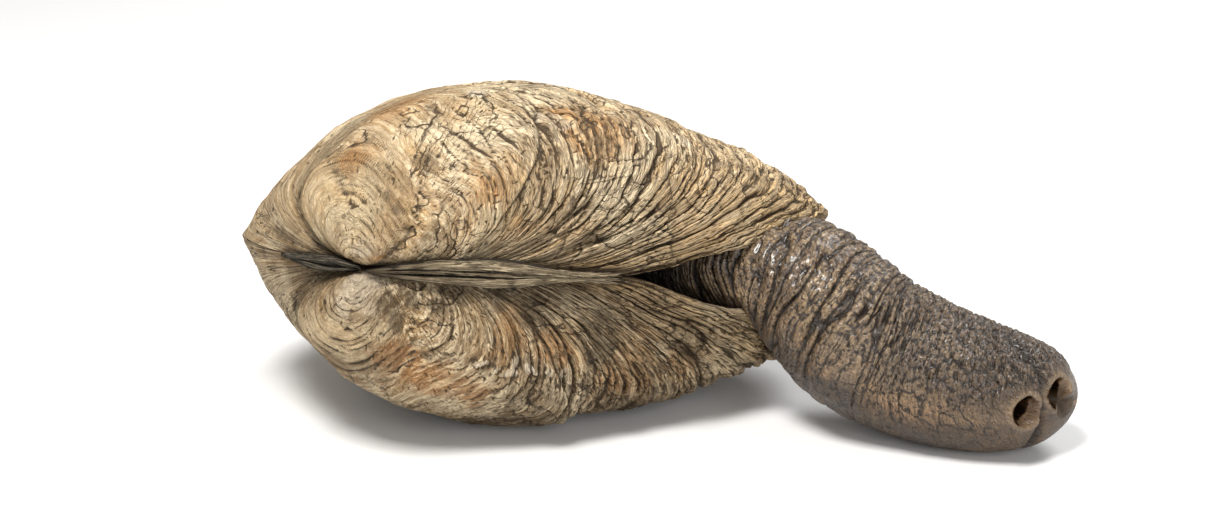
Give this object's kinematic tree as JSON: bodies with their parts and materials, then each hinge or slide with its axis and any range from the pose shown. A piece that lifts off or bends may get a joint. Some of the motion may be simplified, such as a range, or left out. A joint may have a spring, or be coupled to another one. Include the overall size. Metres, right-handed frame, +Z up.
{
  "type": "gaper clam",
  "caption": "Weathered gaper clam lying on one valve: two hollow valves meeting at the beaks, a fibrous ligament behind them, and a thick wrinkled siphon lying out of the gape.",
  "frame": {"origin": "on the ground, under the middle of the whole object's box", "axes": "+X from the shell's front end to the siphon, +Y away from the hinge side, +Z up"},
  "size_m": [0.2238, 0.114, 0.0908],
  "materials": {
    "shell_upper": "chalky worn tan shell, cream and ochre patches, dark cracks and growth lines",
    "shell_lower": "chalky worn grey-tan shell with dark growth ridges and orange-brown stains",
    "ligament": "dry grey-olive fibres with dark splits",
    "front_strip": "dry dark grey fibres",
    "siphon": "wet wrinkled grey-brown skin"
  },
  "bodies": {
    "root": {"upper_valve": "shell_upper", "lower_valve": "shell_lower", "ligament": "ligament", "front_strip": "front_strip", "siphon": "siphon"}
  },
  "joints": []
}
